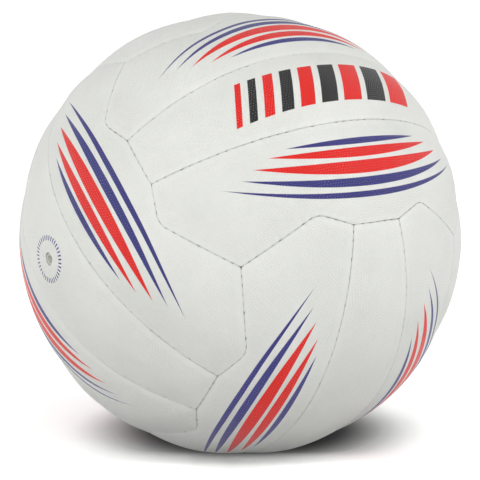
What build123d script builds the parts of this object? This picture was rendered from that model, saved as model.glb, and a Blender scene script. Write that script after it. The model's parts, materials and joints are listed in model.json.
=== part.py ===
from build123d import *
import math
import os

# A size 5 netball: eighteen panels sewn together over a bladder full of air, with a needle valve.
# The origin is the ball's centre and +Z is up as the ball lies. Sizes are in millimetres.

# The ball, and how it lies
ball_girth = 700.0  # once round the ball
resting_turns = (37.5, 22.5, -151.8)  # degrees about X, Y and Z that lay the panel pattern
flats_round = 40  # flats that one turn of a panel's curved faces is laid in
bladder_flats = 28  # the same for the bladder
bend_flats = 4  # flats of a thread round a shoulder
wedge_reach = (0.4, 1.05)  # shares of the ball's radius that a panel's seam planes run between

# The panel pattern, in degrees of arc round the ball. Panels lie in threes, on six faces.
middle_length = 106.0  # a middle panel from end seam to end seam, 206 mm on this ball
middle_width = 22.8  # a middle panel from strip seam to strip seam, 44 mm on this ball
shoulder_overhang = 3.7  # of a side panel's shoulder beyond the end of the middle panel
shoulder_width = 16.2  # from a strip seam across to the shoulder
shoulder_radius = 9.0  # millimetres, rounding of the seam at a shoulder
tip_radius = 3.0  # millimetres, rounding of a side panel's tip, where three panels meet
cap_half_length = 72.0  # each way along the strips, of the cap that a panel is cut from
middle_cap = (-27.0, 27.0)  # across the strips, of the cap of a middle panel, from its middle line
side_cap = (-9.0, 45.0)  # the same for a side panel, from its strip seam

# Sheet, thread and bladder
sheet_thickness = 2.4  # rubber face and the lining bonded to it
thread_width = 0.7
thread_height = 1.4
thread_depth = 1.2  # from the ball's surface down to the thread
thread_trim = 1.6  # from a crossing of seams to the end of a thread
bladder_wall = 0.7

# The valve
neck_radius = 2.8  # of the part that shows in the cover
stem_radius = 4.5  # of the part inside the bladder
stem_length = 22.0  # neck and all
valve_recess = 0.9  # from the ball's surface down to the top of the valve
valve_flange_radius = 9.0
valve_flange_thickness = 0.8
patch_radius = 9.0
patch_thickness = 0.6
core_radius = 1.8
core_foot_radius = 3.2
core_foot_length = 4.0
core_lip = 1.2  # of the valve body under the core's foot
needle_radius = 1.0

# Fits
clearance = 0.25  # between pieces that lie against each other
core_clearance = 0.1  # round the valve core

# Sizes that follow from those above
ball_radius = ball_girth / (2 * math.pi)
flat_angle = 360 / flats_round
half_flat = math.radians(flat_angle / 2)
half_seam = thread_width / 2 + clearance
patch_drop = patch_radius * math.sqrt(2) * math.tan(half_flat)  # of the sheet over the patch's width
flange_depth = sheet_thickness + patch_drop + patch_thickness + valve_flange_thickness + 2 * clearance
bladder_radius = (ball_radius - flange_depth) * math.cos(half_flat) ** 2 - clearance
thread_top = ball_radius - thread_depth
thread_bottom = thread_top - thread_height
cover_hole = neck_radius + clearance
bladder_hole = stem_radius + clearance


def ray_to(along, across):
    """Direction from the ball's centre to a place on a face, by its two angles from the face's axis."""
    return Vector(math.tan(math.radians(along)), math.tan(math.radians(across)), 1)


# Corners in a face's own frame: X along the strips, Y across them, Z outwards
strip_end = ray_to(middle_length / 2, middle_width / 2)
shoulder = ray_to(middle_length / 2 + shoulder_overhang, middle_width / 2 + shoulder_width)
tip = ray_to(45, 45)


def next_face(ray):
    """The same place on the face across the long side, whose strips stand square to these."""
    return Vector(ray.Y, ray.Z, ray.X)


def other_end(ray):
    """The same place at the other end of the strip."""
    return Vector(-ray.X, ray.Y, ray.Z)


# An outline is a list of corners: a ray, its rounding, and 1 where it points out or -1 where it points in.
half_side = [
    (strip_end, 0, 1),
    (shoulder, shoulder_radius, 1),
    (tip, tip_radius, 1),
    (next_face(shoulder), shoulder_radius, -1),
    (next_face(strip_end), 0, 1),
]
side_outline = half_side + [(other_end(ray), r, bend) for ray, r, bend in reversed(half_side)]
half_middle = [(strip_end, 0, 1), (other_end(strip_end), 0, 1)]
middle_outline = half_middle + [(Vector(-ray.X, -ray.Y, 1), r, bend) for ray, r, bend in half_middle]


def corners_at(outline, height, inset):
    """Corners of an outline at a height above the centre, with its walls moved in by an inset."""
    rays = [ray for ray, _, _ in outline]
    walls = [a.cross(b).normalized() for a, b in zip(rays, rays[1:] + rays[:1])]
    corners = []
    for before, after in zip(walls[-1:] + walls[:-1], walls):
        p = inset - before.Z * height
        q = inset - after.Z * height
        scale = before.X * after.Y - before.Y * after.X
        x = (p * after.Y - q * before.Y) / scale
        y = (q * before.X - p * after.X) / scale
        corners.append(Vector(x, y, height))
    return corners


def seam_wedge(outline, inset):
    """The cone of space inside an outline's seam planes, with the outline's roundings."""
    feet = corners_at(outline, wedge_reach[0] * ball_radius, inset)
    heads = corners_at(outline, wedge_reach[1] * ball_radius, inset)
    rims = zip(feet, feet[1:] + feet[:1], heads[1:] + heads[:1], heads)
    sides = [Face(Wire.make_polygon(rim)) for rim in rims]
    ends = [Face(Wire.make_polygon(feet)), Face(Wire.make_polygon(heads))]
    with BuildPart() as wedge:
        add(Solid(Shell(sides + ends)))
        for foot, head, (_, radius, bend) in zip(feet, heads, outline):
            if radius > bend * inset:
                corner_edge = wedge.edges().sort_by_distance((foot + head) / 2)[0]
                fillet(corner_edge, radius - bend * inset)
    return wedge.part


def cap_points(radius, tilt, width):
    """Corners of a cap of the ball laid in flats, in bands along the strips, and the ball's centre."""
    band = Plane(origin=(0, 0, 0), x_dir=(1, 0, 0), z_dir=(0, -math.sin(tilt), math.cos(tilt)))
    lowest, highest = width
    lon_steps = math.ceil(cap_half_length / flat_angle)
    lat_steps = math.ceil((highest - lowest) / flat_angle)
    points = [Vector(0, 0, 0)]
    for lon_step in range(-lon_steps, lon_steps + 1):
        for lat_step in range(lat_steps + 1):
            lon = math.radians(lon_step * flat_angle)
            lat = math.radians(lowest + lat_step * flat_angle)
            level = radius * math.cos(lat)
            local = Vector(level * math.sin(lon), radius * math.sin(lat), level * math.cos(lon))
            points.append(band.from_local_coords(local))
    return points


def sewn_panel(outline, tilt, width):
    """A panel: a curved sheet whose edges turn in along the seams."""
    with BuildPart() as pocket:
        ConvexPolyhedron(cap_points(ball_radius - sheet_thickness, tilt, width))
        add(seam_wedge(outline, half_seam + sheet_thickness), mode=Mode.INTERSECT)
    with BuildPart() as panel:
        ConvexPolyhedron(cap_points(ball_radius, tilt, width))
        ConvexPolyhedron(cap_points(ball_radius - flange_depth, tilt, width), mode=Mode.SUBTRACT)
        add(seam_wedge(outline, half_seam), mode=Mode.INTERSECT)
        add(pocket.part, mode=Mode.SUBTRACT)
    return panel.part


middle_panel = sewn_panel(middle_outline, 0, middle_cap)
side_panel = sewn_panel(side_outline, math.radians(-middle_width / 2), side_cap)

# The middle panel that the valve comes through
with BuildPart() as valve_panel:
    add(middle_panel)
    with BuildSketch(Plane.XY):
        Circle(cover_hole)
    extrude(amount=2 * ball_radius, mode=Mode.SUBTRACT)


def ring_sector(inner, outer, first, last, flats):
    """Corners of a piece of a flat ring between two angles in degrees, with its arcs laid in flats."""
    angles = [math.radians(first + (last - first) * step / flats) for step in range(flats + 1)]
    far_side = [(outer * math.cos(a), outer * math.sin(a)) for a in angles]
    near_side = [(inner * math.cos(a), inner * math.sin(a)) for a in reversed(angles)]
    return far_side + near_side


def thread_run(start, end, start_trim, end_trim):
    """Thread in a straight stretch of seam, from one ray to another."""
    first = math.degrees(start_trim / thread_top)
    last = start.get_angle(end) - math.degrees(end_trim / thread_top)
    flats = math.ceil((last - first) / flat_angle)
    with BuildPart() as run:
        with BuildSketch(Plane(origin=(0, 0, 0), x_dir=start, z_dir=start.cross(end))):
            with BuildLine():
                Polyline(*ring_sector(thread_bottom, thread_top, first, last, flats), close=True)
            make_face()
        extrude(amount=thread_width / 2, both=True)
    return run.part


# Thread in a bent seam: from a strip's end, round the shoulder, to the tip
wall_in = strip_end.cross(shoulder).normalized()
wall_out = shoulder.cross(tip).normalized()
bend_angle = wall_in.get_angle(wall_out)
bend_trim = shoulder_radius * math.tan(math.radians(bend_angle / 2))
bend_centre = (wall_in + wall_out) * (shoulder_radius / (1 + wall_in.dot(wall_out)))
bend_foot = bend_centre + shoulder.normalized() * thread_bottom
bend_inner = shoulder_radius - thread_width / 2
bend_outer = shoulder_radius + thread_width / 2
run_in = thread_run(strip_end, shoulder, thread_trim, bend_trim)
run_out = thread_run(shoulder, tip, bend_trim, tip_radius)
with BuildPart() as shoulder_thread:
    add(run_in)
    add(run_out)
    with BuildSketch(Plane(origin=bend_foot, x_dir=-wall_in, z_dir=shoulder)):
        with BuildLine():
            Polyline(*ring_sector(bend_inner, bend_outer, 0, bend_angle, bend_flats), close=True)
        make_face()
    extrude(amount=thread_height)

strip_thread = thread_run(strip_end, other_end(strip_end), thread_trim, thread_trim)
end_thread = thread_run(strip_end, Vector(strip_end.X, -strip_end.Y, 1), thread_trim, thread_trim)

# The valve, on a face's axis: a body that holds a plug with the needle's channel
valve_top = ball_radius - valve_recess
valve_bottom = valve_top - stem_length
flange_bottom = bladder_radius + clearance
flange_top = flange_bottom + valve_flange_thickness
foot_bottom = valve_bottom + core_lip + core_clearance
foot_top = foot_bottom + core_foot_length
core_hole = core_radius + core_clearance
foot_hole = core_foot_radius + core_clearance

with BuildPart() as valve_body:
    with BuildSketch(Plane.XZ):
        with BuildLine():
            Polyline(
                (core_hole, valve_top),
                (neck_radius, valve_top),
                (neck_radius, flange_top),
                (valve_flange_radius, flange_top),
                (valve_flange_radius, flange_bottom),
                (stem_radius, flange_bottom),
                (stem_radius, valve_bottom),
                (core_hole, valve_bottom),
                (core_hole, valve_bottom + core_lip),
                (foot_hole, valve_bottom + core_lip),
                (foot_hole, foot_top + core_clearance),
                (core_hole, foot_top + core_clearance),
                close=True,
            )
        make_face()
    revolve(axis=Axis.Z)

with BuildPart() as valve_core:
    with BuildSketch(Plane.XZ):
        with BuildLine():
            Polyline(
                (needle_radius, valve_top),
                (core_radius, valve_top),
                (core_radius, foot_top),
                (core_foot_radius, foot_top),
                (core_foot_radius, foot_bottom),
                (needle_radius, foot_bottom),
                close=True,
            )
        make_face()
    revolve(axis=Axis.Z)

# The ring bonded inside the cover, round the valve
patch_top = ball_radius - sheet_thickness - patch_drop - clearance
with BuildPart() as valve_patch:
    with BuildSketch(Plane.XY.offset(patch_top - patch_thickness)):
        Circle(patch_radius)
        Circle(cover_hole, mode=Mode.SUBTRACT)
    extrude(amount=patch_thickness)


def bladder_points(radius):
    """Corners of a round bladder laid in flats, with one corner on the valve's axis."""
    points = [Vector(0, radius, 0), Vector(0, -radius, 0)]
    for lat_step in range(1 - bladder_flats // 4, bladder_flats // 4):
        for lon_step in range(bladder_flats):
            lat = 2 * math.pi * lat_step / bladder_flats
            lon = 2 * math.pi * lon_step / bladder_flats
            level = radius * math.cos(lat)
            points.append(Vector(level * math.sin(lon), radius * math.sin(lat), level * math.cos(lon)))
    return points


with BuildPart() as bladder:
    ConvexPolyhedron(bladder_points(bladder_radius))
    ConvexPolyhedron(bladder_points(bladder_radius - bladder_wall), mode=Mode.SUBTRACT)
    with BuildSketch(Plane.XY):
        Circle(bladder_hole)
    extrude(amount=ball_radius, mode=Mode.SUBTRACT)

# The six faces: each one's outward axis and the direction of its strips, in the pattern's own axes
face_axes = {
    "upper_front": ((0, 0, 1), (1, 0, 0)),
    "left_front": ((1, 0, 0), (0, 1, 0)),
    "lower_front": ((0, 1, 0), (0, 0, 1)),
    "lower_rear": ((0, 0, -1), (-1, 0, 0)),
    "right_rear": ((-1, 0, 0), (0, -1, 0)),
    "upper_rear": ((0, -1, 0), (0, 0, -1)),
}
valve_face = "left_front"
resting_pose = Location((0, 0, 0), resting_turns)
half_turn = Location((0, 0, 0), (0, 0, 180))
places = {
    face: resting_pose * Plane(origin=(0, 0, 0), x_dir=strips, z_dir=outward).location
    for face, (outward, strips) in face_axes.items()
}

os.makedirs("parts", exist_ok=True)


def write(piece, name):
    """Label a finished piece and write it to its own file."""
    piece.label = name
    export_step(piece, f"parts/{name}.step")


for face, place in places.items():
    write(place * (valve_panel.part if face == valve_face else middle_panel), f"{face}_middle_panel")
    write(place * side_panel, f"{face}_side_panel_1")
    write(place * half_turn * side_panel, f"{face}_side_panel_2")

for name, piece in (
    ("bladder", bladder.part),
    ("valve_body", valve_body.part),
    ("valve_core", valve_core.part),
    ("valve_patch", valve_patch.part),
):
    write(places[valve_face] * piece, name)

# Each kind of seam has its threads in one file
with BuildPart() as strip_stitching:
    for place in places.values():
        add(place * strip_thread)
        add(place * half_turn * strip_thread)
write(strip_stitching.part, "strip_seam_stitching")

with BuildPart() as end_stitching:
    for place in places.values():
        add(place * end_thread)
        add(place * half_turn * end_thread)
write(end_stitching.part, "end_seam_stitching")

mirrored_thread = mirror(shoulder_thread.part, about=Plane.YZ)
with BuildPart() as shoulder_stitching:
    for place in places.values():
        for thread in (shoulder_thread.part, mirrored_thread):
            add(place * thread)
            add(place * half_turn * thread)
write(shoulder_stitching.part, "shoulder_seam_stitching")
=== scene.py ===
# %% [markdown]
# # A stitched netball
# The ball has eighteen rubber panels, sewn edge to edge over a bladder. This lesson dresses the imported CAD
# model: it makes full, rounded panels over the plain ones, lays a twisted thread in every seam, turns the
# valve on a lathe, and gives each piece a finish made of nodes. Everything is in metres.

import json
import math

import bmesh
import bpy
import numpy as np
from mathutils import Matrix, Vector

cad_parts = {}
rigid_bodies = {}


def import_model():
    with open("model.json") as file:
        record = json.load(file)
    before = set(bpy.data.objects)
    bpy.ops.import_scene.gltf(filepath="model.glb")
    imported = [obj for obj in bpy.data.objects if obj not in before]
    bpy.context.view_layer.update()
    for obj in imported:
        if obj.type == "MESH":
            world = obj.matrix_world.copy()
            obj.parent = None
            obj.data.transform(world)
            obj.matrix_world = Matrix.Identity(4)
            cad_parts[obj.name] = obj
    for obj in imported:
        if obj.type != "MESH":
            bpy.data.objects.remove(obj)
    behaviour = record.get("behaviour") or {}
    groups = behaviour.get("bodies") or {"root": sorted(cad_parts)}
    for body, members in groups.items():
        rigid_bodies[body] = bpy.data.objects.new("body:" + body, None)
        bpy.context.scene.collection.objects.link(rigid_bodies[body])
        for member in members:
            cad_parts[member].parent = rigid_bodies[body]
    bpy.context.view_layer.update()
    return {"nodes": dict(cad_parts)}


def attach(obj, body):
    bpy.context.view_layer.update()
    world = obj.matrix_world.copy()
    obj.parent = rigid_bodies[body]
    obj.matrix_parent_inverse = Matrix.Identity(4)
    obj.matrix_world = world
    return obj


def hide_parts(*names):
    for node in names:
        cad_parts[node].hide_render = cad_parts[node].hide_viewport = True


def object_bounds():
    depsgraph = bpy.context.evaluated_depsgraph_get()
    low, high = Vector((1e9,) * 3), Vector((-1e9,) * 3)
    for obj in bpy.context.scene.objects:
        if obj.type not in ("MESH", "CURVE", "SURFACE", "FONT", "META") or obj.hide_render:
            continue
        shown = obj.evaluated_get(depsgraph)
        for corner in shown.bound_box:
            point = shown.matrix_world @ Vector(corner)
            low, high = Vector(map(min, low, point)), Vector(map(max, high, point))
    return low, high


for left_over in list(bpy.data.objects):
    bpy.data.objects.remove(left_over)
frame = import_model()

# %% [markdown]
# ## The pattern
# A panel's edges are great circles, so its corners are kept as rays from the ball's centre. These are the
# angles that the CAD model was made from: three strips lie on each of six faces, and the strips of
# neighbouring faces stand square to each other.

# %% Sizes of the ball and its pattern
MM = 0.001
ball_radius = 0.700 / (2 * math.pi)
middle_length = math.radians(106.0)
middle_width = math.radians(22.8)
shoulder_overhang = math.radians(3.7)
shoulder_width = math.radians(16.2)
shoulder_radius = 9.0 * MM
junction_radius = 2.5 * MM


def unit(v):
    return v / np.linalg.norm(v, axis=-1, keepdims=True)


def ray_to(along, across):
    """Ray to a place on a face: X along the strips, Y across them, Z outwards."""
    return unit(np.array([math.tan(along), math.tan(across), 1.0]))


def next_face(ray):
    """The same place on the face across the long side."""
    return ray[[1, 2, 0]]


def other_end(ray):
    """The same place at the other end of the strip."""
    return ray * np.array([-1.0, 1.0, 1.0])


strip_end = ray_to(middle_length / 2, middle_width / 2)
shoulder = ray_to(middle_length / 2 + shoulder_overhang, middle_width / 2 + shoulder_width)
tip = ray_to(math.pi / 4, math.pi / 4)
print("a middle strip is", round(math.acos(strip_end @ other_end(strip_end)) * ball_radius / MM), "mm long")

# %% Where the six faces lie, with the ball at rest
face_axes = {
    "upper_front": ((0, 0, 1), (1, 0, 0)),
    "left_front": ((1, 0, 0), (0, 1, 0)),
    "lower_front": ((0, 1, 0), (0, 0, 1)),
    "lower_rear": ((0, 0, -1), (-1, 0, 0)),
    "right_rear": ((-1, 0, 0), (0, -1, 0)),
    "upper_rear": ((0, -1, 0), (0, 0, -1)),
}
valve_face = "left_front"
marked_faces = ("upper_front", "lower_rear")


def turn(axis, degrees):
    """Matrix of a turn about X, Y or Z, which are axes 0, 1 and 2."""
    c = math.cos(math.radians(degrees))
    s = math.sin(math.radians(degrees))
    matrix = np.eye(3)
    i = (axis + 1) % 3
    j = (axis + 2) % 3
    matrix[i, i] = matrix[j, j] = c
    matrix[i, j] = -s
    matrix[j, i] = s
    return matrix


resting_pose = turn(0, 37.5) @ turn(1, 22.5) @ turn(2, -151.8)
half_turn = turn(2, 180)


def face_place(face):
    """Matrix from a face's own axes to the ball at rest."""
    outward, strips = (np.array(axis, float) for axis in face_axes[face])
    return resting_pose @ np.stack([strips, np.cross(outward, strips), outward], axis=1)


places = {face: face_place(face) for face in face_axes}
print("valve points along", np.round(places[valve_face][:, 2], 3))

# %% [markdown]
# ## Seams
# A seam is a line on the ball that bends round the shoulders. It could be a Bezier curve, but then the two
# panels that share it might drift apart. Here each seam is worked out once as rays: straight runs are great
# circles, and a bend is a circle that touches both runs.


# %% Seams with rounded bends
def bend(before, corner, after, radius, steps=17):
    """Rays round a corner of a seam, on a circle that touches both of its runs."""
    back = unit(before - corner * (before @ corner))
    on = unit(after - corner * (after @ corner))
    half = math.acos(back @ on) / 2
    centre = unit(back + on) * radius / math.sin(half)
    first = back * radius / math.tan(half) - centre
    last = on * radius / math.tan(half) - centre
    whole = math.pi - 2 * half
    part = np.linspace(0, whole, steps)[:, None]
    arc = (np.sin(whole - part) * first + np.sin(part) * last) / math.sin(whole)
    return unit(corner * ball_radius + centre + arc)


def seam(corners):
    """A seam through corners, each a ray and the radius of its bend, or 0 where the seam starts or ends."""
    line = []
    for k, (ray, radius) in enumerate(corners):
        line.append(bend(corners[k - 1][0], ray, corners[k + 1][0], radius) if radius else ray[None])
    return np.concatenate(line)


def arc_lengths(line):
    """Distance along a line of rays, from its start to each of them, in metres on the ball."""
    chords = np.linalg.norm(np.diff(line, axis=0), axis=1)
    return np.concatenate([[0], np.cumsum(2 * np.arcsin(chords / 2))]) * ball_radius


def points_along(line, distances):
    """Rays at distances along a line."""
    reach = arc_lengths(line)
    k = np.clip(np.searchsorted(reach, distances, side="right") - 1, 0, len(line) - 2)
    gap = (reach[k + 1] - reach[k]) / ball_radius
    part = (distances - reach[k]) / (reach[k + 1] - reach[k])
    near = np.sin((1 - part) * gap) / np.sin(gap)
    far = np.sin(part * gap) / np.sin(gap)
    return near[:, None] * line[k] + far[:, None] * line[k + 1]


strip_seam = seam([(other_end(strip_end), 0), (strip_end, 0)])
shoulder_seam = seam([(strip_end, 0), (shoulder, shoulder_radius), (tip, 0)])
end_seam = seam([(strip_end * np.array([1, -1, 1]), 0), (strip_end, 0)])
for name, line in (("strip", strip_seam), ("shoulder", shoulder_seam), ("end", end_seam)):
    print(name, "seam:", round(arc_lengths(line)[-1] / MM, 1), "mm")

# %% [markdown]
# ## A panel's net
# Every panel is a four-sided patch: a strip seam below, a straight or bent edge above, and two ends.
# A Coons patch fills such a frame smoothly from its four sides, so the rows of the net run with the strips,
# as the grain does. The rows crowd together near the seams, where the sheet rolls over.


# %% Net of a four-sided panel
edge_rows = np.array([0, 0.07, 0.18, 0.35, 0.65, 1.1, 1.9, 2.9, 3.9, 4.4, 4.9]) * MM
row_step = 1.05 * MM


def shares(length, extra=()):
    """Places of a net's rows as shares of a length, closer together at both ends and at extra places."""
    inner = length - 2 * edge_rows[-1]
    count = 2 * round(inner / row_step / 2)
    rows = np.linspace(edge_rows[-1], length - edge_rows[-1], count + 1)[1:-1]
    if len(extra):
        rows = rows[(rows < extra[0] - row_step / 2) | (rows > extra[-1] + row_step / 2)]
    return np.sort(np.concatenate([edge_rows, rows, extra, length - edge_rows])) / length


inner_shoulder = next_face(shoulder)
inner_end = next_face(strip_end)
half_top = [(inner_end, junction_radius), (inner_shoulder, shoulder_radius), (tip, 0)]
top_line = seam([(other_end(ray), r) for ray, r in reversed(half_top)] + half_top)

side_lines = (strip_seam, top_line, other_end(shoulder_seam), shoulder_seam)
middle_lines = (
    strip_seam * np.array([1, -1, 1]),
    strip_seam,
    other_end(end_seam),
    end_seam,
)
print("a side panel is", round(arc_lengths(top_line)[-1] / MM), "mm along its bent edge")

# %% [markdown]
# ## Edges that stop short of the seam
# Sewn edges roll in and nearly touch. Each line of the net therefore moves into its panel by half the gap,
# and a little more at every stitch, where the thread pulls the two edges apart into a small hole. Both
# panels count stitches from the same place, so the holes face each other.

# %% Gaps and stitch holes
stitch_pitch = 4.3 * MM
seam_half_gap = 0.022 * MM
hole_half_gap = 0.34 * MM
hole_sharpness = 6
junction_pit = 0.22 * MM
pit_reach = 0.8 * MM
outline_step = 0.25 * MM
bare_end = 1.5 * MM
weakest_pull = 0.3
pull_range = 0.9
pull_lean = 1.5
shoulder_length = arc_lengths(shoulder_seam)[-1]
stitch_pulls = weakest_pull + pull_range * np.random.default_rng(11).random(64) ** pull_lean


def stitch_peak(distance):
    """How far each stitch pulls along a seam, falling to 0 between stitches."""
    peak = (0.5 + 0.5 * np.cos(2 * math.pi * distance / stitch_pitch)) ** hole_sharpness
    return peak * stitch_pulls[np.round(distance / stitch_pitch).astype(int)]


def from_middle(distance, length):
    return np.abs(distance - length / 2)


def from_far_end(distance, length):
    return length - distance


def from_tips(distance, length):
    """Along a bent edge: from the nearer tip, and over the strip's end from its middle."""
    tip_distance = np.minimum(distance, length - distance)
    return np.where(tip_distance < shoulder_length, tip_distance, np.abs(distance - length / 2))


def inset_line(line, side, count_from, distances):
    """Rays along a panel's own edge at distances along a seam, and how far the stitches count there."""
    length = arc_lengths(line)[-1]
    step = 0.02 * MM
    rays = points_along(line, distances)
    ahead = points_along(line, np.minimum(distances + step, length))
    behind = points_along(line, np.maximum(distances - step, 0))
    inward = side * unit(np.cross(rays, ahead - behind))
    counted = count_from(distances, length)
    end_distance = np.minimum(distances, length - distances)
    away = np.clip((end_distance - bare_end) / bare_end, 0, 1)
    gap = seam_half_gap + hole_half_gap * stitch_peak(counted) * away
    gap = gap + junction_pit * np.exp(-((end_distance / pit_reach) ** 2))
    return unit(rays * ball_radius + inward * gap[:, None]), counted


class Panel:
    """The net of one kind of panel: rays, distance to the seam, and the stitches' count."""

    corners = ((0, 0, 2, 0), (0, -1, 3, 0), (1, 0, 2, -1), (1, -1, 3, -1))
    batch = 2000

    def __init__(self, lines, counts, across, along, middle_tilt=0):
        self.flat = turn(0, math.degrees(middle_tilt))
        edges = []
        outline = []
        sides = (1, -1, -1, 1)
        spread = (along, along, across, across)
        for line, side, count_from, share, ends in zip(lines, sides, counts, spread, self.ends(lines)):
            start, stop = ends
            edges.append(inset_line(line, side, count_from, start + share * (stop - start))[0])
            dense = np.linspace(start, stop, round((stop - start) / outline_step))
            outline.append(inset_line(line, side, count_from, dense))
        for one, i, other, j in self.corners:
            edges[one][i] = edges[other][j] = self.meeting(edges[one], i, edges[other], j)
        bottom, top, left, right = edges
        self.rays = self.fill(bottom, top, left, right, across, along)
        self.along = along
        self.across = across
        loop = [outline[0], outline[3], [a[::-1] for a in outline[1]], [a[::-1] for a in outline[2]]]
        self.loop_rays = np.concatenate([rays[:-1] for rays, _ in loop])
        self.loop_counts = np.concatenate([counted[:-1] for _, counted in loop])
        self.distance, self.counted = self.to_edge(self.rays.reshape(-1, 3))

    def ends(self, lines):
        """Where each edge starts and stops along its seam, to leave room for the next edge's gap."""
        spans = [[0, arc_lengths(line)[-1]] for line in lines]
        for one, i, other, j in self.corners:
            corner = lines[one][i]
            neighbours = [lines[k][1 if m == 0 else -2] for k, m in ((one, i), (other, j))]
            first, second = (unit(ray - corner * (ray @ corner)) for ray in neighbours)
            room = (seam_half_gap + junction_pit) / math.tan(math.acos(first @ second) / 2)
            for k, m in ((one, i), (other, j)):
                spans[k][m] += room if m == 0 else -room
        return spans

    @staticmethod
    def meeting(one, i, other, j):
        """Where two edges cross: the ray square to both of their planes."""
        inner = 1 if i == 0 else -2
        across = 1 if j == 0 else -2
        crossing = np.cross(np.cross(one[i], one[inner]), np.cross(other[j], other[across]))
        return unit(crossing * np.sign(crossing @ one[i]))

    @staticmethod
    def fill(bottom, top, left, right, across, along):
        """A Coons patch between four edges that share their corners."""
        u = along[None, :, None]
        v = across[:, None, None]
        sides = (1 - v) * bottom[None] + v * top[None]
        ends = (1 - u) * left[:, None] + u * right[:, None]
        corners = (1 - v) * ((1 - u) * bottom[0] + u * bottom[-1]) + v * ((1 - u) * top[0] + u * top[-1])
        return unit(sides + ends - corners)

    def to_edge(self, rays):
        """Distance of rays from the panel's edge, and the stitches' count at the nearest place on it."""
        distance = np.empty(len(rays))
        counted = np.empty(len(rays))
        for start in range(0, len(rays), self.batch):
            span = slice(start, start + self.batch)
            part = rays[span]
            k = np.argmax(part @ self.loop_rays.T, axis=1)
            best = np.full(len(part), np.inf)
            for a, b in ((k - 1, k), (k, (k + 1) % len(self.loop_rays))):
                run = self.loop_rays[b] - self.loop_rays[a]
                t = np.clip(((part - self.loop_rays[a]) * run).sum(1) / (run * run).sum(1), 0, 1)
                apart = part - self.loop_rays[a] - t[:, None] * run
                best = np.minimum(best, np.linalg.norm(apart, axis=1))
            distance[span] = best * ball_radius
            counted[span] = self.loop_counts[k]
        return distance, counted


strip_length = arc_lengths(strip_seam)[-1]
middle_breadth = middle_width * ball_radius
valve_hole = 3.05 * MM
around_hole = edge_rows[:-1]
inside_hole = np.linspace(-0.75, 0.75, 7) * valve_hole


def valve_rows(length):
    """Rows of a net that fit round the valve's hole, in the middle of a length."""
    out = valve_hole + around_hole
    return np.sort(np.concatenate([-out, inside_hole, out])) + length / 2


middle_counts = (from_middle,) * 4
side_counts = (from_middle, from_tips, from_far_end, from_far_end)
side_tilt = (middle_width / 2 + math.atan2(inner_end[1], inner_end[2])) / 2
side_panel = Panel(side_lines, side_counts, shares(shoulder_length), shares(strip_length), side_tilt)
middle_panel = Panel(middle_lines, middle_counts, shares(middle_breadth), shares(strip_length))
valve_panel = Panel(
    middle_lines,
    middle_counts,
    shares(middle_breadth, valve_rows(middle_breadth)),
    shares(strip_length, valve_rows(strip_length)),
)
for name, panel in (("side", side_panel), ("middle", middle_panel), ("valve", valve_panel)):
    print(name, "net:", panel.rays.shape[:2], "deepest inside:", round(panel.distance.max() / MM, 1), "mm")

# %% [markdown]
# ## From a net to a stuffed panel
# Air presses each panel out between its seams, so a panel is a low pillow: highest in the middle, falling
# towards the thread, and rolling over at the very edge. A cloth simulation could blow it up, but the height
# depends mostly on how far a point is from the seam, so a short formula does it, and both panels of a seam
# match. A few slow waves keep the ball from looking machined, and open a seam here and close it there.

# %% Height of a panel's face
crown = 0.30 * MM
pillow = 1.45 * MM
pillow_reach = 24.0 * MM
roll_reach = 0.55 * MM
roll_depth = 0.24 * MM
stitch_dip = 0.32 * MM
stitch_reach = 1.9 * MM
unevenness = 0.16 * MM
flange_lift = 0.13 * MM
flange_edge = 4.4 * MM
flange_fade = 0.7 * MM

# These are a middle share, and how far the slow waves take it up and down.
dip_share = (0.7, 0.5)
lift_share = (0.5, 0.5)
open_share = (0.55, 0.6)
open_least = 0.15
open_most = 1.1

wave_count = 9
wave_shrink = 4
rng = np.random.default_rng(5)
wave_axes = unit(rng.normal(size=(wave_count, 3))) * rng.uniform(5, 13, size=(wave_count, 1))
wave_starts = rng.uniform(0, 2 * math.pi, size=wave_count)


def slow_waves(rays):
    """A smooth height, mostly between -1 and 1, that changes slowly over the ball."""
    return np.sin(rays @ wave_axes.T + wave_starts).sum(1) / wave_shrink


def uneven(rays, order, middle, sway):
    """A share that changes slowly round its middle value. Each order of the axes gives other waves."""
    return middle + sway * slow_waves(rays[:, order])


def smooth(share):
    """A smooth rise from 0 to 1, as a share goes from 0 to 1."""
    share = np.clip(share, 0, 1)
    return share * share * (3 - 2 * share)


def roll(distance, reach, depth):
    """Drop of a rounded edge, at a distance from it: a quarter of an ellipse."""
    inside = np.clip(1 - distance / reach, 0, 1)
    return depth * (1 - np.sqrt(1 - inside**2))


def face_height(rays, distance, counted):
    """Height of a panel's face over the ball's own round, at rays on the ball at rest."""
    slope = np.clip(1 - distance / pillow_reach, 0, 1)
    pull = uneven(rays, [2, 0, 1], *dip_share)
    dip = stitch_dip * pull * stitch_peak(counted) * np.exp(-((distance / stitch_reach) ** 2))
    on_flange = smooth((flange_edge - distance) / flange_fade + 0.5)
    lift = flange_lift * uneven(rays, [1, 2, 0], *lift_share) * on_flange
    openness = np.clip(uneven(rays, [0, 2, 1], *open_share), open_least, open_most)
    edge = lift - dip - roll(distance, roll_reach, roll_depth) * openness
    return crown - pillow * slope**2 + edge + unevenness * slow_waves(rays)


heights = face_height(side_panel.rays.reshape(-1, 3), side_panel.distance, side_panel.counted)
print("panel face from", round(heights.min() / MM, 2), "to", round(heights.max() / MM, 2), "mm")

# %% [markdown]
# ## The sheet's turned-in edge
# Below the roll, the edge turns in along the seam. Three more rings of points under the edge of the net
# make it, drawn back a little so that the thread has room between the two panels. The same is done round
# the valve's hole, where the square net is first pulled into a circle. The back of the sheet is hidden on
# the ball, so a coarse net closes it, joined to the deepest ring of each edge.

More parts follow.
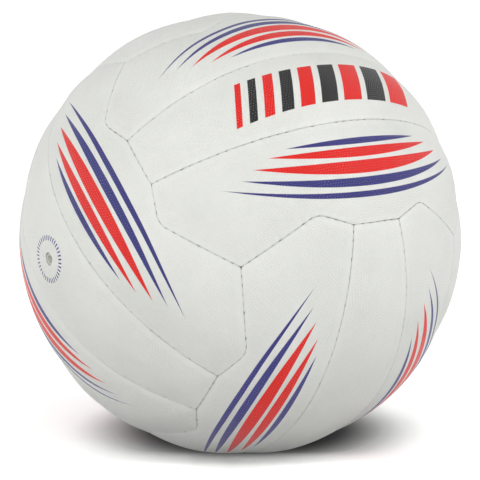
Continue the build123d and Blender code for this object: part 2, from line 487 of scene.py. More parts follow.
# %% Build a panel's mesh
lip_drops = (0.35 * MM, 1.1 * MM, 2.8 * MM)
lip_draws = (0.10 * MM, 0.45 * MM, 0.55 * MM)
sheet_thickness = 2.4 * MM
back_stride = 8
map_margin = 0.03
map_front = 0.74
map_back = 0.14
hole_reach = 10.0 * MM
hole_roll = 0.7 * MM
hole_dish = 0.35 * MM
dish_reach = 4.0 * MM
hole_map_step = 0.05
at_side = 0.999
far_away = 1.0


def round_the_hole(rays):
    """A net's rays with its middle square pulled into a circle, and each one's distance from that hole."""
    x = np.arctan2(rays[:, 0], rays[:, 2]) * ball_radius
    y = np.arcsin(rays[:, 1]) * ball_radius
    square = np.maximum(np.abs(x), np.abs(y))
    far = np.hypot(x, y)
    t = smooth((square - valve_hole) / (hole_reach - valve_hole))
    scale = np.where(far > 0, (1 - t) * square / np.maximum(far, 1e-9) + t, 1)
    lon = x * scale / ball_radius
    lat = y * scale / ball_radius
    pulled = np.stack([np.cos(lat) * np.sin(lon), np.sin(lat), np.cos(lat) * np.cos(lon)], axis=1)
    near = square < hole_reach
    return np.where(near[:, None], pulled, rays), np.where(near, far * scale - valve_hole, far_away)


def strides(count, stops):
    """Every few rows of a net, with the first, the last and given ones."""
    stops = [0, *stops, count - 1]
    picked = [np.arange(a, b, back_stride) for a, b in zip(stops, stops[1:])]
    return np.concatenate([*picked, stops[-1:]])


def new_mesh(name, points, faces):
    """A smooth mesh of points and faces."""
    made = bpy.data.meshes.new(name)
    made.from_pydata(points.tolist(), [], faces)
    made.shade_smooth()
    return made


class Sheet:
    """Points, faces and texture places of a panel, ready for a mesh."""

    def __init__(self, panel, place, holed):
        rows, columns = panel.rays.shape[:2]
        rays = panel.rays.reshape(-1, 3)
        number = np.arange(rows * columns).reshape(rows, columns)
        self.number = number
        if holed:
            rays, hole_distance = round_the_hole(rays)
        self.rays = rays @ place.T
        self.height = face_height(self.rays, panel.distance, panel.counted)
        if holed:
            outside = np.clip(hole_distance, 0, far_away)
            self.height -= roll(outside, hole_roll, hole_roll) + hole_dish * np.exp(-outside / dish_reach)
        u, v = np.meshgrid(panel.along, panel.across)
        wide = map_margin + (1 - 2 * map_margin) * u.ravel()
        self.uv = np.stack([wide, map_margin + map_front * v.ravel()], axis=1)
        self.net_uv_behind = np.stack([wide, 1 - map_margin - map_back * v.ravel()], axis=1)
        self.local = rays @ panel.flat.T
        self.distance = panel.distance
        quads = np.stack([number[:-1, :-1], number[:-1, 1:], number[1:, 1:], number[1:, :-1]], axis=-1)
        self.faces = quads.reshape(-1, 4)
        self.rims = {}
        self.turn_in(self.ring(0, rows - 1, 0, columns - 1), map_margin / (len(lip_drops) + 1))
        self.hole = ()
        if holed:
            self.open_hole()
        self.close_back()

    def ring(self, low, high, left, right):
        """Numbers of the net's points round a block of rows and columns, anticlockwise from outside."""
        block = self.number[low : high + 1, left : right + 1]
        return np.concatenate([block[0, :-1], block[:-1, -1], block[-1, :0:-1], block[:0:-1, 0]])

    def add(self, rays, height, like, side=1):
        """Adds points that take their places on the panel from others, and gives their numbers."""
        made = np.arange(len(rays)) + len(self.rays)
        self.rays = np.concatenate([self.rays, rays])
        self.height = np.concatenate([self.height, height])
        self.local = np.concatenate([self.local, self.local[like]])
        self.distance = np.concatenate([self.distance, side * self.distance[like]])
        return made

    def turn_in(self, ring, step):
        """Rings of points under a ring of the net, for the edge that turns in."""
        top = ring
        top_rays = self.rays[ring]
        top_height = self.height[ring]
        first, last = self.uv[ring].min(0), self.uv[ring].max(0)
        away = (2 * self.uv[ring] - first - last) / (last - first)
        chord = np.roll(top_rays, -1, axis=0) - np.roll(top_rays, 1, axis=0)
        inward = unit(np.cross(top_rays, chord))
        shift = np.sign(away) * (np.abs(away) > at_side) * step
        for drop, draw in zip(lip_drops, lip_draws):
            low = self.add(unit(top_rays * ball_radius + inward * draw), top_height - drop, ring)
            self.uv = np.concatenate([self.uv, self.uv[ring] + shift])
            walls = np.stack([ring, low, np.roll(low, -1), np.roll(ring, -1)], axis=1)
            self.faces = np.concatenate([self.faces, walls])
            ring = low
        self.rims.update(zip(top.tolist(), ring.tolist()))

    def open_hole(self):
        """Drops the faces inside the valve's hole and turns its edge in."""
        rows, columns = self.number.shape
        half = (len(inside_hole) + 1) // 2
        low, left = rows // 2 - half, columns // 2 - half
        high, right = rows // 2 + half, columns // 2 + half
        self.hole = (low, high, left, right)
        ring = self.ring(*self.hole)[::-1]
        gone = self.number[low + 1 : high, left + 1 : right].ravel()
        self.faces = self.faces[~np.isin(self.faces, gone).any(1)]
        self.turn_in(ring, -hole_map_step * (self.uv[ring].max(0) - self.uv[ring].min(0)))

    def close_back(self):
        """A coarse net behind the sheet, joined to the deepest rings of its turned-in edges."""
        rows = strides(self.number.shape[0], self.hole[:2])
        columns = strides(self.number.shape[1], self.hole[2:])
        nodes = [n for n in self.number[np.ix_(rows, columns)].ravel().tolist() if n not in self.rims]
        made = self.add(self.rays[nodes], self.height[nodes] - sheet_thickness, nodes, side=-1)
        behind = self.rims | dict(zip(nodes, made.tolist()))
        self.back = []
        self.back_uv = []
        for low, high in zip(rows, rows[1:]):
            for left, right in zip(columns, columns[1:]):
                if (low, high, left, right) == self.hole:
                    continue
                outline = [n for n in self.ring(low, high, left, right)[::-1].tolist() if n in behind]
                self.back.append(np.array([behind[n] for n in outline]))
                self.back_uv.append(self.net_uv_behind[outline])

    def mesh(self, name):
        """The mesh of this sheet, with its texture places and its places on the panel in metres."""
        front = self.faces.ravel()
        used, corners = np.unique(np.concatenate([front, *self.back]), return_inverse=True)
        points = self.rays[used] * (ball_radius + self.height[used])[:, None]
        quads = corners[: len(front)].reshape(-1, 4).tolist()
        ends = np.cumsum([len(face) for face in self.back])[:-1]
        back = [face.tolist() for face in np.split(corners[len(front) :], ends)]
        made = new_mesh(name, points, quads + back)
        texture = made.uv_layers.new(name="OFBake")
        texture_places = np.concatenate([self.uv[front], *self.back_uv])
        texture.uv.foreach_set("vector", texture_places.astype(np.float32).ravel())
        along = np.arctan2(self.local[used, 0], self.local[used, 2]) * ball_radius
        across = np.arcsin(self.local[used, 1]) * ball_radius
        place = made.attributes.new("panel_place", "FLOAT_VECTOR", "POINT")
        values = np.stack([along, across, self.distance[used]], axis=1)
        place.data.foreach_set("vector", values.astype(np.float32).ravel())
        return made


def piece(mesh, node):
    """A new piece of the ball that takes the place of a CAD node."""
    made = bpy.data.objects.new(mesh.name, mesh)
    bpy.context.collection.objects.link(made)
    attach(made, "root")
    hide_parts(node)
    return made


covers = {}
for face, place in places.items():
    kinds = (
        ("middle_panel", valve_panel if face == valve_face else middle_panel, place),
        ("side_panel_1", side_panel, place),
        ("side_panel_2", side_panel, place @ half_turn),
    )
    for kind, panel, at in kinds:
        node = f"{face}_{kind}"
        sheet = Sheet(panel, at, panel is valve_panel)
        covers[node] = piece(sheet.mesh(f"{node}_cover"), node)
print("covers:", len(covers), "points:", sum(len(c.data.vertices) for c in covers.values()))

# %% [markdown]
# ## Thread in the seams
# Netballs are sewn from the inside with waxed thread, and little of it shows: it runs down in the groove
# and comes to light at the stitch holes. Two plies twist round each other. A curve with a bevel would do
# for one seam, but a swept tube in plain arrays keeps all the seams of one kind in one mesh.

# %% Sweep twisted plies along the seams
thread_depth = 2.45 * MM
thread_lift = 0.35 * MM
thread_sway = 0.14 * MM
ply_radius = 0.20 * MM
twist_pitch = 2.4 * MM
thread_step = 0.45 * MM
thread_trim = 1.6 * MM
ply_sides = 5


def ply_points(line, place, count_from, start):
    """Points of one ply along a seam, in rings round its path."""
    length = arc_lengths(line)[-1]
    along = np.linspace(thread_trim, length - thread_trim, round(length / thread_step))
    rays = points_along(line, along)
    ahead = unit(np.gradient(rays, axis=0))
    aside = unit(np.cross(rays, ahead))
    counted = count_from(along, length)
    twist = 2 * math.pi * along / twist_pitch + start
    lift = thread_lift * stitch_peak(counted) + ply_radius * np.cos(twist)
    sway = thread_sway * np.sin(math.pi * counted / stitch_pitch) + ply_radius * np.sin(twist)
    path = rays * (ball_radius - thread_depth + lift)[:, None] + aside * sway[:, None]
    around = 2 * math.pi * np.arange(ply_sides) / ply_sides
    offsets = np.cos(around)[None, :, None] * rays[:, None] + np.sin(around)[None, :, None] * aside[:, None]
    return ((path[:, None] + ply_radius * offsets).reshape(-1, 3)) @ place.T


def ring_walls(number):
    """Faces between rings of points. Each row holds the numbers of one ring's points."""
    on = np.roll(number, -1, axis=1)
    return np.stack([number[:-1], number[1:], on[1:], on[:-1]], axis=-1).reshape(-1, 4).tolist()


def tube_faces(rings, sides, first):
    """Faces of a tube of rings, with its ends closed."""
    number = first + np.arange(rings * sides).reshape(rings, sides)
    return ring_walls(number) + [number[0].tolist(), number[-1, ::-1].tolist()]


def thread_mesh(name, lines, count_from):
    """One mesh of all the thread in a kind of seam."""
    points = []
    faces = []
    for line, place in lines:
        for start in (0, math.pi):
            ply = ply_points(line, place, count_from, start)
            faces += tube_faces(len(ply) // ply_sides, ply_sides, sum(map(len, points)))
            points.append(ply)
    return new_mesh(name, np.concatenate(points), faces)


turned = [at for place in places.values() for at in (place, place @ half_turn)]
seam_kinds = (
    ("strip_seam", (strip_seam,), from_middle),
    ("end_seam", (end_seam,), from_middle),
    ("shoulder_seam", (shoulder_seam, other_end(shoulder_seam)), from_far_end),
)
threads = []
for kind, lines, count_from in seam_kinds:
    placed = [(line, at) for at in turned for line in lines]
    shape = thread_mesh(f"{kind}_thread", placed, count_from)
    threads.append(piece(shape, f"{kind}_stitching"))
print("thread points:", sum(len(t.data.vertices) for t in threads))

# %% [markdown]
# ## The valve
# The valve is moulded rubber: a body with a neck that shows in the cover, and a plug in it that the needle
# goes through. Both are round, so a profile turned about the valve's axis gives them, with the small
# roundings that a mould leaves. The heights are distances from the ball's centre.

# %% Turn the valve's two pieces
lathe_steps = 72
valve_top = ball_radius - 0.9 * MM
valve_bottom = valve_top - 22.0 * MM
flange_low = 105.453 * MM
flange_high = flange_low + 0.8 * MM
flange_radius = 9.0 * MM
neck_radius = 2.8 * MM
stem_radius = 4.5 * MM
plug_hole = 1.9 * MM
plug_mouth = 2.1 * MM
plug_radius = 1.8 * MM
foot_radius = 3.2 * MM
foot_low = valve_bottom + 1.3 * MM
foot_high = valve_bottom + 5.3 * MM
needle_radius = 1.0 * MM
needle_mouth = 1.5 * MM


def softened(corners, steps=5):
    """A closed profile with its corners rounded: each corner is a radius, a height and a rounding."""
    line = []
    for k, (x, z, radius) in enumerate(corners):
        here = np.array([x, z])
        back = unit(np.array(corners[k - 1][:2]) - here)
        on = unit(np.array(corners[(k + 1) % len(corners)][:2]) - here)
        for t in np.linspace(0, 1, steps):
            line.append(here + radius * (back * (1 - t) ** 2 + on * t**2))
    return np.array(line)


def turned_mesh(name, profile, place):
    """A closed profile turned round a face's axis."""
    around = 2 * math.pi * np.arange(lathe_steps) / lathe_steps
    ring = np.stack([np.cos(around), np.sin(around), np.zeros(lathe_steps)], axis=1)
    points = profile[:, None, :1] * ring[None] + profile[:, None, 1:] * np.array([0, 0, 1.0])
    number = np.arange(points.shape[0] * lathe_steps).reshape(-1, lathe_steps)
    faces = ring_walls(np.concatenate([number, number[:1]]))
    return new_mesh(name, points.reshape(-1, 3) @ place.T, faces)


body_profile = [
    (plug_hole, valve_top - 0.5 * MM, 0.2 * MM),
    (plug_mouth, valve_top - 0.05 * MM, 0.2 * MM),
    (neck_radius, valve_top, 0.35 * MM),
    (neck_radius, flange_high, 0.4 * MM),
    (flange_radius, flange_high, 0.3 * MM),
    (flange_radius, flange_low, 0.3 * MM),
    (stem_radius, flange_low, 0.3 * MM),
    (stem_radius, valve_bottom, 0.8 * MM),
    (plug_hole, valve_bottom, 0.2 * MM),
]
core_profile = [
    (needle_radius, valve_top - 1.4 * MM, 0.3 * MM),
    (needle_mouth, valve_top - 0.25 * MM, 0.3 * MM),
    (plug_radius, valve_top, 0.15 * MM),
    (plug_radius, foot_high, 0.1 * MM),
    (foot_radius, foot_high, 0.3 * MM),
    (foot_radius, foot_low, 0.3 * MM),
    (needle_radius, foot_low, 0.1 * MM),
]
valve_pieces = {}
for name, profile in (("valve_body", body_profile), ("valve_core", core_profile)):
    shape = turned_mesh(f"{name}_turned", softened(profile), places[valve_face])
    valve_pieces[name] = piece(shape, name)
print("valve pieces:", list(valve_pieces))

# %% [markdown]
# ## The bladder
# The bladder is a hollow ball with a hole for the valve, so the same lathe turns it: its profile runs down
# the outside to the far side, and back up inside. On the far side the points of a whole ring fall together
# on the axis, and have to be joined into one.

# %% Turn the bladder
flange_clearance = 0.25 * MM
bladder_radius = flange_low - flange_clearance
bladder_wall = 0.7 * MM
bladder_hole = 4.75 * MM
bladder_rings = 64


def bladder_arc(radius):
    """A profile of a ball from the edge of the valve's hole to the far side."""
    polar = np.linspace(math.asin(bladder_hole / radius), math.pi, bladder_rings)
    return radius * np.stack([np.sin(polar), np.cos(polar)], axis=1)


def join_points(mesh, nearer=1e-6):
    """Joins points that lie on each other, and drops the edges that are left without a face."""
    work = bmesh.new()
    work.from_mesh(mesh)
    bmesh.ops.remove_doubles(work, verts=work.verts, dist=nearer)
    bare = [edge for edge in work.edges if not edge.link_faces]
    bmesh.ops.delete(work, geom=bare, context="EDGES")
    work.to_mesh(mesh)
    work.free()
    return mesh


inside = bladder_arc(bladder_radius - bladder_wall)[::-1]
bladder_shape = np.concatenate([bladder_arc(bladder_radius), inside])
bladder_mesh = join_points(turned_mesh("bladder_turned", bladder_shape, places[valve_face]))
bladder = piece(bladder_mesh, "bladder")
print("bladder points:", len(bladder_mesh.vertices))

# %% [markdown]
# ## Arithmetic on nodes
# A finish is easier to read as a formula than as a web of nodes. A small class holds one socket of a
# material. Adding, multiplying or comparing such sockets makes the Math nodes that do it, and one method
# makes every other kind of node. A second class holds what all the finishes share.


# %% A socket that can be used in formulas
class Wire:
    """An output of a node in a material."""

    def __init__(self, tree, socket):
        self.tree = tree
        self.socket = socket

    @staticmethod
    def node(tree, kind, output, inputs=None, **settings):
        """One output of a new node that has these settings, and these values or wires in its sockets."""
        made = tree.nodes.new("ShaderNode" + kind)
        for name, value in settings.items():
            setattr(made, name, value)
        for name, value in (inputs or {}).items():
            if isinstance(value, Wire):
                tree.links.new(value.socket, made.inputs[name])
            else:
                made.inputs[name].default_value = value
        return Wire(tree, made.outputs[output])

    def output(self, name):
        """Another output of the same node."""
        return Wire(self.tree, self.socket.node.outputs[name])

    def parts(self):
        """The x, y and z of a place or a direction."""
        x = Wire.node(self.tree, "SeparateXYZ", "X", {"Vector": self})
        return x, x.output("Y"), x.output("Z")

    def math(self, operation, a, b=0.0):
        return Wire.node(self.tree, "Math", 0, {0: a, 1: b}, operation=operation)

    def __add__(self, other):
        return self.math("ADD", self, other)

    __radd__ = __add__

    def __sub__(self, other):
        return self.math("SUBTRACT", self, other)

    def __rsub__(self, other):
        return self.math("SUBTRACT", other, self)

    def __mul__(self, other):
        return self.math("MULTIPLY", self, other)

    __rmul__ = __mul__

    def __abs__(self):
        return self.math("ABSOLUTE", self)

    def cos(self):
        return self.math("COSINE", self)

    def at_most(self, other):
        return self.math("MINIMUM", self, other)

    def at_least(self, other):
        return self.math("MAXIMUM", self, other)

    def ramp(self, low, high):
        """0 below one value, 1 above another, and a smooth rise between them."""
        inputs = {"Value": self, "From Min": low, "From Max": high}
        return Wire.node(self.tree, "MapRange", 0, inputs, interpolation_type="SMOOTHSTEP")

    def tint(self, start, colour):
        """A colour that goes from a start to another as this value goes from 0 to 1."""
        inputs = {0: self, 6: start, 7: colour}
        return Wire.node(self.tree, "Mix", 2, inputs, data_type="RGBA", clamp_factor=True)


def colour(red, green, blue):
    """A colour given as on a screen, from 0 to 255, in the linear values that nodes use."""
    parts = (red / 255, green / 255, blue / 255)
    return (*(p / 12.92 if p <= 0.04045 else ((p + 0.055) / 1.055) ** 2.4 for p in parts), 1.0)


def from_centre(x, y):
    """How far a place is from where x and y are 0."""
    return x.math("SQRT", x * x + y * y)


class Finish:
    """A material in the making. Its places are in metres from the ball's centre."""

    def __init__(self, name, **constants):
        self.made = bpy.data.materials.new(name)
        self.made.use_nodes = True
        self.tree = self.made.node_tree
        self.shader = self.tree.nodes["Principled BSDF"]
        for socket, value in constants.items():
            self.shader.inputs[socket.replace("_", " ")].default_value = value
        self.place = Wire.node(self.tree, "TexCoord", "Object")

    def noise(self, scale, detail=2.0, place=None):
        """Smooth noise between 0 and 1, with lumps about 1/scale metres wide."""
        inputs = {"Vector": place or self.place, "Scale": scale, "Detail": detail}
        return Wire.node(self.tree, "TexNoise", "Fac", inputs)

    def link(self, socket, wire):
        self.tree.links.new(wire.socket, self.shader.inputs[socket])

    def done(self, face, roughness, height, deep):
        """The material, with its colour, its roughness, and a height from 0 to 1 over so many metres."""
        self.link("Base Color", face)
        self.link("Roughness", roughness)
        inputs = {"Strength": 1.0, "Distance": deep, "Height": height}
        self.link("Normal", Wire.node(self.tree, "Bump", 0, inputs))
        return self.made


# %% [markdown]
# ## The pimpled cover
# The grip comes from rows of small pimples, 1.4 mm apart, pressed into the rubber. Three sets of waves that
# cross at 60 degrees add up to such a field. The panel's own places keep the rows in line with the strip,
# and noise bends them a little. Near the seam the grain flattens out, where the sheet is stretched over its
# edge. The back, where the distance from the seam is below 0, is bare lining.

# %% Grain of the rubber
grain_pitch = 1.4 * MM
grain_wander = 2.2 * MM
grain_deep = 0.19 * MM
grain_starts = 0.8 * MM
grain_full = 4.0 * MM
grain_at_edge = 0.15
fine_share = 0.25
rubber_white = colour(235, 236, 231)
rubber_shade = colour(228, 229, 224)
# The grey of painted shade in the seams' grooves.
painted_seam_shade = colour(186, 187, 182)
lining = colour(206, 203, 192)
seam_shade_reach = 0.8 * MM
seam_shade_least = 0.08
seam_shade_patchy = 0.3
worn_least = 0.25
lining_edge = -0.5 * MM
ink_thinning = 0.12
wander_lumps = 140.0
sway_lumps = 170.0
tone_lumps = 24.0
patch_lumps = 38.0
fine_lumps = 2600.0
rubber_roughness = 0.47
pimple_polish = 0.07
tone_roughness = 0.05
lining_roughness = 0.4
ink_polish = 0.06


def pimples(x, y):
    """Height of the grain between 0 and 1, at a place on a panel."""
    wave = 4 * math.pi / (math.sqrt(3) * grain_pitch)
    lean = math.sqrt(3) / 2
    rows = (y * wave).cos() + (x * (lean * wave) + y * (0.5 * wave)).cos()
    return (rows + (x * (lean * wave) - y * (0.5 * wave)).cos() + 1.5) * (1 / 4.5)


def cover_finish(name, prints=None):
    """White rubber with its grain. Prints is a function that gives pairs of a print's cover and its ink."""
    own = Finish(name, Specular_IOR_Level=0.36)
    panel_place = Wire.node(own.tree, "Attribute", "Vector", attribute_name="panel_place")
    x, y, edge = panel_place.parts()
    wander = own.noise(wander_lumps)
    sway = own.noise(sway_lumps, place=panel_place)
    grain = pimples(x + (wander - 0.5) * grain_wander, y + (sway - 0.5) * grain_wander)
    inner = edge.ramp(grain_starts, grain_full)
    tone = own.noise(tone_lumps, 3.0).ramp(0.3, 0.8)
    face = tone.tint(rubber_white, rubber_shade)
    patchy = own.noise(patch_lumps).ramp(0.35, 0.65)
    # The grey along each seam's edge is painted shade of the groove, stronger in patches.
    seam_shade = (1 - edge.ramp(0.0, seam_shade_reach)) * (seam_shade_least + seam_shade_patchy * patchy)
    face = seam_shade.tint(face, painted_seam_shade)
    behind = 1 - edge.ramp(2 * lining_edge, lining_edge)
    roughness = rubber_roughness - pimple_polish * grain * inner
    roughness = roughness + tone_roughness * tone + lining_roughness * behind
    if prints:
        worn = grain.ramp(0.4, 1.0) * (worn_least + (1 - worn_least) * patchy)
        printed = None
        for cover, ink in prints(x, y):
            face = (cover * (1 - ink_thinning * worn)).tint(face, ink)
            printed = printed.at_least(cover) if printed else cover
        roughness = roughness - ink_polish * printed
    face = behind.tint(face, lining)
    fine = own.noise(fine_lumps, 1.0)
    height = grain * (grain_at_edge + (1 - grain_at_edge) * inner) + fine_share * fine
    return own.done(face, roughness, height, grain_deep)


# %% [markdown]
# ## Printed bands
# The side strips carry nested crescents in blue and red, thickest at the middle of the strip and pointed at
# both ends. One formula gives a crescent's edge, so no picture is needed. Here and there the ink is worn on
# top of the pimples, which lets a little of the white through in dots.

# %% Crescents on the side strips
ink_blue = colour(48, 47, 122)
ink_red = colour(230, 20, 8)
ink_edge = 0.22 * MM


def crescent(x, y, middle, bow, half_length, half_width):
    """How far a crescent covers a place, from 0 to 1."""
    share = x * (1 / half_length)
    square = share * share
    line = y - middle + square * bow
    breadth = (1 - square) * half_width
    return (breadth - abs(line)).ramp(0.0, ink_edge)


# Each band's middle, bow, half length and half width are in millimetres.
bands = [
    (11.6, 15.0, 74.0, 1.5, ink_blue),
    (5.8, 11.0, 64.0, 2.2, ink_blue),
    (-1.2, 7.6, 57.0, 3.2, ink_red),
    (-8.4, 4.2, 49.0, 2.5, ink_red),
    (-14.0, 1.2, 40.0, 1.7, ink_blue),
]


def banded(x, y):
    """The five crescents of a side strip."""
    return [(crescent(x, y, *(size * MM for size in sizes)), ink) for *sizes, ink in bands]


# %% [markdown]
# ## Small marks
# Two middle strips carry a plain row of slanting bars, and a ring of short ticks helps to find the valve.

# %% Bars and ticks
ink_black = colour(15, 15, 16)
bar_height = 11.5 * MM
bar_slant = 0.42
bar_start = -52.0 * MM
bar_gap = 3.4 * MM
bar_widths = [width * MM for width in (15.0, 13.0, 11.2, 9.5, 8.0, 6.6, 5.4, 4.3, 3.3)]
bar_inks = (ink_red, ink_black)
tick_count = 36
tick_low = 9.0 * MM
tick_high = 11.6 * MM


def barred(x, y):
    """A row of slanting bars that grow thinner, in turns of two inks."""
    lean = x - y * bar_slant
    start = bar_start
    bars = []
    for k, width in enumerate(bar_widths):
        beside = width / 2 - abs(lean - (start + width / 2))
        start += width + bar_gap
        cover = beside.at_most(bar_height - abs(y)).ramp(0.0, ink_edge)
        bars.append((cover, bar_inks[k % len(bar_inks)]))
    return bars


def ticked(x, y):
    """A ring of short ticks round the valve."""
    far = from_centre(x, y)
    angle = x.math("ARCTAN2", y, x)
    tooth = (angle * tick_count).cos().ramp(0.1, 0.5)
    within = (far - tick_low).at_most(tick_high - far).ramp(0.0, ink_edge)
    return [(tooth * within, ink_blue)]


cover_finishes = {
    "side": cover_finish("pimpled_rubber_banded", banded),
    "plain": cover_finish("pimpled_rubber"),
    "marked": cover_finish("pimpled_rubber_barred", barred),
    "valve": cover_finish("pimpled_rubber_ticked", ticked),
}
for node, cover in covers.items():
    kind = "side" if "side" in node else "plain"
    if node == f"{valve_face}_middle_panel":
        kind = "valve"
    elif kind == "plain" and node.startswith(marked_faces):
        kind = "marked"
    cover.data.materials.append(cover_finishes[kind])
print("cover finishes:", {name: len(m.node_tree.nodes) for name, m in cover_finishes.items()}, "nodes")

# %% [markdown]
# ## Thread, rubber and cloth
# The small pieces get finishes of their own: waxed grey thread with a fibrous face, a pale moulded rubber
# for the valve, black butyl dusted with chalk for the bladder, and a plain weave for the patch inside.


# %% Finishes of the small pieces
def thread_finish(fibre_lumps=4200.0, worn_lumps=160.0, deep=0.05 * MM):
    """Grey waxed thread, darker where it is worn."""
    own = Finish("waxed_thread", Sheen_Weight=0.15)
    fibre = own.noise(fibre_lumps, 3.0)
    patchy = own.noise(worn_lumps)
    face = fibre.ramp(0.3, 0.75).tint(colour(120, 121, 120), colour(168, 168, 164))
    face = (patchy.ramp(0.45, 0.8) * 0.5).tint(face, colour(96, 96, 94))
    return own.done(face, 0.75 - 0.2 * fibre, fibre, deep)


def moulded_rubber(name, dark, light, dust, deep, speck_lumps=1500.0, cloud_lumps=70.0):
    """Moulded rubber, with fine grain and a dusting of another colour."""
    own = Finish(name, Specular_IOR_Level=0.4)
    speck = own.noise(speck_lumps, 4.0)
    cloud = own.noise(cloud_lumps, 3.0)
    face = speck.ramp(0.25, 0.8).tint(dark, light)
    face = (cloud.ramp(0.5, 0.8) * 0.35).tint(face, dust)
    return own.done(face, 0.5 + 0.2 * cloud, speck, deep)


def woven_finish(yarn_pitch=0.9 * MM, fuzz_lumps=3000.0, deep=0.12 * MM):
    """A plain weave of pale yarn."""
    own = Finish("woven_patch", Sheen_Weight=0.3)
    _, y, z = own.place.parts()
    wave = 2 * math.pi / yarn_pitch
    weave = ((y * wave).cos() * (z * wave).cos()) * 0.5 + 0.5
    fuzz = own.noise(fuzz_lumps)
    face = (weave * (0.6 + 0.4 * fuzz)).tint(colour(168, 164, 150), colour(214, 211, 200))
    return own.done(face, 0.92 - 0.1 * fuzz, weave, deep)


def dress(obj, material):
    """Gives a piece, or a CAD node that stays, one finish all over."""
    obj.data.materials.clear()
    obj.data.materials.append(material)


waxed_thread = thread_finish()
for thread in threads:
    dress(thread, waxed_thread)
pale = (colour(206, 205, 198), colour(226, 225, 218), colour(236, 235, 230))
greyer = (colour(182, 181, 174), colour(208, 207, 200), colour(224, 223, 218))
butyl = (colour(26, 26, 27), colour(46, 46, 47), colour(120, 119, 115))
dress(valve_pieces["valve_body"], moulded_rubber("valve_rubber", *pale, 0.05 * MM))
dress(valve_pieces["valve_core"], moulded_rubber("plug_rubber", *greyer, 0.04 * MM))
dress(bladder, moulded_rubber("butyl_bladder", *butyl, 0.05 * MM))
dress(frame["nodes"]["valve_patch"], woven_finish())
print("finishes:", len(bpy.data.materials))

# %% [markdown]
# ## Floor, light and camera
# The ball lies on a white floor that runs into a white background. The floor keeps the ball's shadow: it is
# lit like anything else, and is only made brighter where the camera or a reflection looks at it. Soft light
# leaves a pale, wide shadow. For the deep, short one of a product picture, a shadow is painted on the floor:
# it is darker in a patch under the ball, and a wider patch of painted shade dims the light it bounces onto
# the ball's underside. Light is painted on the floor just in front of the ball, for the camera only. Most
# light comes from a sky that is stronger in front than behind, with a strong strip low down that reaches the
# ball's underside. A large lamp on the right adds a little shape, and a weaker one on the left fills the far
# edge.

# %% Floor and sky
low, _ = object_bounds()
floor_size = 30.0
square = np.array([(-1, -1, 0), (1, -1, 0), (1, 1, 0), (-1, 1, 0)])
floor_mesh = new_mesh("floor", square * floor_size / 2 + np.array([0, 0, low.z]), [(0, 1, 2, 3)])
floor = bpy.data.objects.new("floor", floor_mesh)
bpy.context.collection.objects.link(floor)
floor_plain = 0.40
floor_seen = 2.10
# Painted light on the floor in front of the ball: its tone, and where it fades out towards the ball; then
# where the painted shadow stops in front.
painted_light_tone = 3.1
painted_light_front = (-40.0 * MM, -25.0 * MM)
painted_shadow_front = (-27.0 * MM, -9.0 * MM)

# Each patch of painted shade has its middle and reach on the floor, the share that is fully dark, and how
# dark that is.
painted_shadow_seen = (4.5 * MM, 34.0 * MM, 103.0 * MM, 86.0 * MM, 0.45, 0.95)
painted_shade_bounce = (0.0, 0.0, 142.0 * MM, 142.0 * MM, 0.3, 0.95)

sky_even = 0.66
sky_low = 4.15
sky_behind = 0.25
low_behind = 0.45
front_ends = -0.3
back_starts = 0.6
strip_full = 0.02
strip_ends = 0.30


def looked_at(tree):
    """1 where the camera, a reflection or something clear looks, and 0 for light that falls on things."""
    path = Wire.node(tree, "LightPath", "Is Camera Ray")
    return path.at_least(path.output("Is Glossy Ray")).at_least(path.output("Is Transmission Ray"))


def painted_shade_oval(x, y, middle_x, middle_y, reach_x, reach_y, full, depth):
    """How dark painted shade on the floor is at a place, in a patch that fades towards its edge."""
    out = from_centre((x - middle_x) * (1 / reach_x), (y - middle_y) * (1 / reach_y))
    return (1 - out.ramp(full, 1.0)) * depth


def grey(tone):
    return (tone, tone, tone, 1)


white = Finish("white_floor", Roughness=0.9, Specular_IOR_Level=0.0)
x, y, _ = white.place.parts()
# Painted shade under the ball darkens the light that the floor bounces, and with it the ball's underside.
plain = painted_shade_oval(x, y, *painted_shade_bounce).tint(grey(floor_plain), grey(0))
by_camera = Wire.node(white.tree, "LightPath", "Is Camera Ray")
# Light is painted on the floor just in front of the ball, for the camera only.
painted_light_mask = by_camera * (1 - y.ramp(*painted_light_front))
seen = painted_light_mask.tint(grey(floor_seen), grey(painted_light_tone))
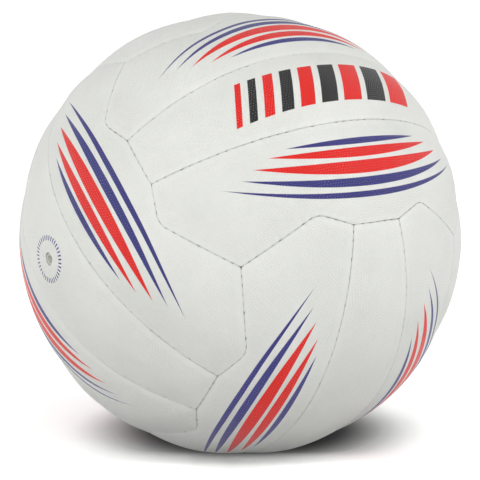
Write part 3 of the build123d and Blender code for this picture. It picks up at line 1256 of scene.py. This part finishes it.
# A shadow is painted on the floor under the ball, where the camera or a reflection looks, and cut short in
# front.
seen = (painted_shade_oval(x, y, *painted_shadow_seen) * y.ramp(*painted_shadow_front)).tint(seen, grey(0))
white.link("Base Color", looked_at(white.tree).tint(plain, seen))
floor_mesh.materials.append(white.made)

sky = bpy.data.worlds.new("studio")
bpy.context.scene.world = sky
sky.use_nodes = True
sky_tree = sky.node_tree
background = sky_tree.nodes["Background"]
background.inputs["Color"].default_value = (1, 1, 1, 1)
_, backward, upward = Wire.node(sky_tree, "TexCoord", "Generated").parts()
in_front = 1 - backward.ramp(front_ends, back_starts)
near_ground = 1 - upward.ramp(strip_full, strip_ends)
dome = in_front * (1 - sky_behind) + sky_behind
strip = near_ground * (in_front * (1 - low_behind) + low_behind)
glow = strip * sky_low + dome * sky_even
seen_here = looked_at(sky_tree)
strength = seen_here + (1 - seen_here) * glow
sky_tree.links.new(strength.socket, background.inputs["Strength"])


# %% Lamps and camera
def aimed(name, data, where):
    """A lamp or camera at a place, turned towards the ball's centre."""
    made = bpy.data.objects.new(name, data)
    bpy.context.collection.objects.link(made)
    made.location = where
    made.rotation_euler = (-Vector(where)).to_track_quat("-Z", "Y").to_euler()
    return made


def soft_lamp(name, size, energy, where):
    """A square lamp that points at the ball."""
    lamp = bpy.data.lights.new(name, "AREA")
    lamp.shape = "SQUARE"
    lamp.size = size
    lamp.energy = energy
    return aimed(name, lamp, where)


soft_lamp("key", size=2.0, energy=5.0, where=(1.5, -0.8, 1.0))
soft_lamp("fill", size=1.4, energy=2.4, where=(-1.7, 0.1, 0.9))

camera_distance = 8.03 * ball_radius
camera_rise = math.radians(9.0)
camera_angle = math.radians(15.52)
eye = (0, -camera_distance * math.cos(camera_rise), camera_distance * math.sin(camera_rise))
camera_data = bpy.data.cameras.new("camera")
camera_data.sensor_fit = "HORIZONTAL"
camera_data.angle = camera_angle
picture_width = 480
camera_data.shift_x = -0.25 / picture_width
camera_data.shift_y = -6.7 / picture_width
bpy.context.scene.camera = aimed("camera", camera_data, eye)
bpy.context.scene.view_settings.view_transform = "Standard"
print("camera", round(camera_distance, 3), "m away")
